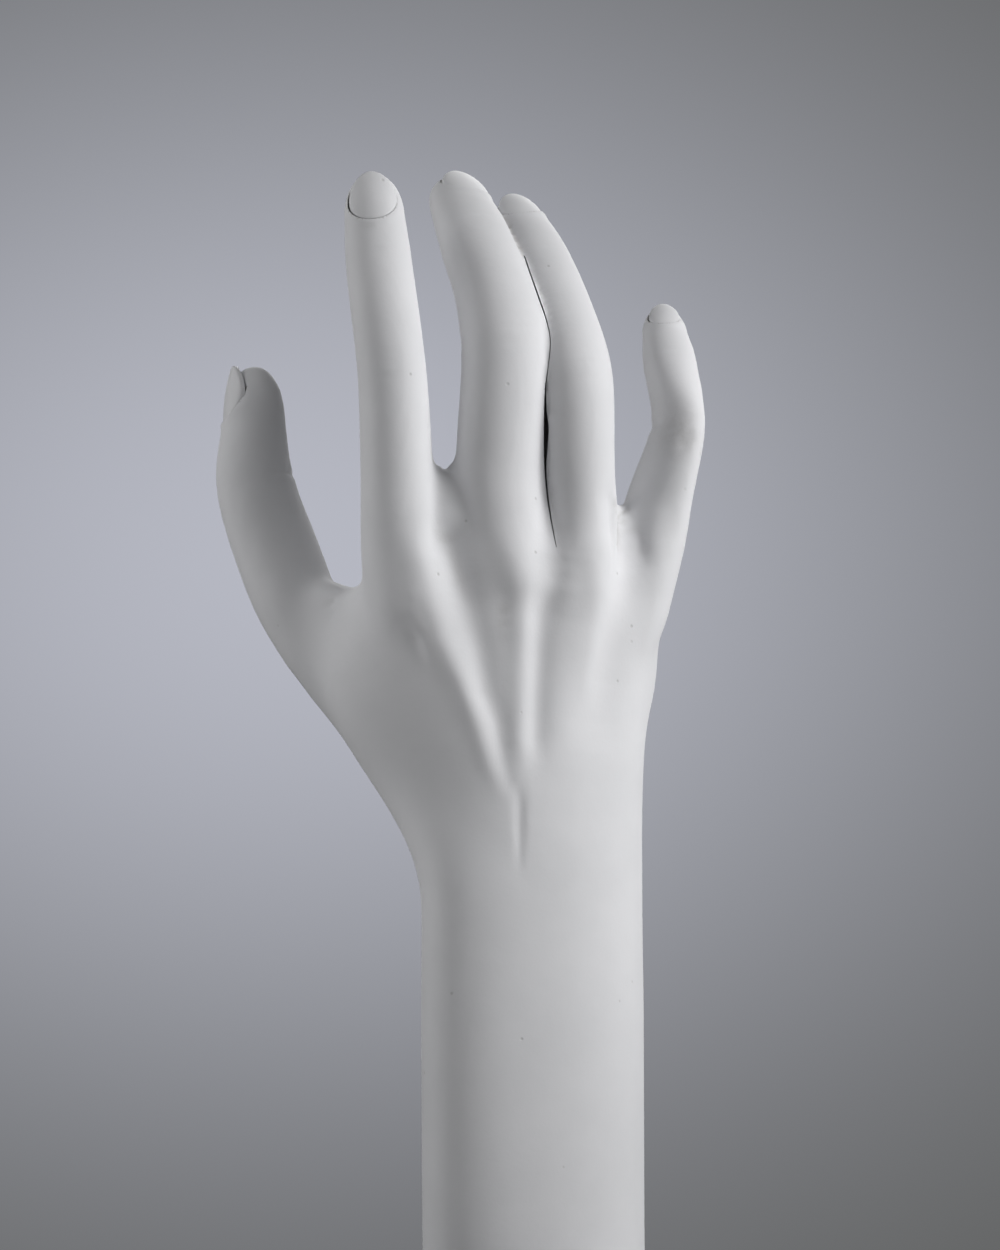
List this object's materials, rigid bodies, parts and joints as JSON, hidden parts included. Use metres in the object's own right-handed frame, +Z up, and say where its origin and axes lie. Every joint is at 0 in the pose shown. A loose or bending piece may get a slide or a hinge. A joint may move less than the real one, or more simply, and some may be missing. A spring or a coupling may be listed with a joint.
{
  "type": "hand sculpture",
  "caption": "Life-size white cast hand on a straight forearm, fingers raised and parted, standing on a flat felt foot as an ornament or jewellery display.",
  "frame": {"origin": "middle of the felt foot's flat underside", "axes": "+Z up along the forearm, the back of the hand faces -Y, the thumb is on the -X side"},
  "size_m": [0.1219, 0.0586, 0.303],
  "materials": {
    "plaster": "matt cast plaster with a fine grain and small pits",
    "nail_plaster": "plaster rubbed smooth, slightly silkier than the skin",
    "steel": "plain drawn steel",
    "zinc": "dull zinc plating",
    "felt": "dark grey pressed felt"
  },
  "bodies": {
    "root": {"hand_casting": "plaster", "thumb_nail": "nail_plaster", "index_nail": "nail_plaster", "middle_nail": "nail_plaster", "ring_nail": "nail_plaster", "little_nail": "nail_plaster", "forearm_rod": "steel", "thumb_wire": "zinc", "index_wire": "zinc", "middle_wire": "zinc", "ring_wire": "zinc", "little_wire": "zinc", "lower_binding_sleeve": "zinc", "upper_binding_sleeve": "zinc", "anchor_plate": "steel", "anchor_washer": "zinc", "upper_nut": "zinc", "lower_nut": "zinc", "felt_foot": "felt"}
  },
  "joints": []
}
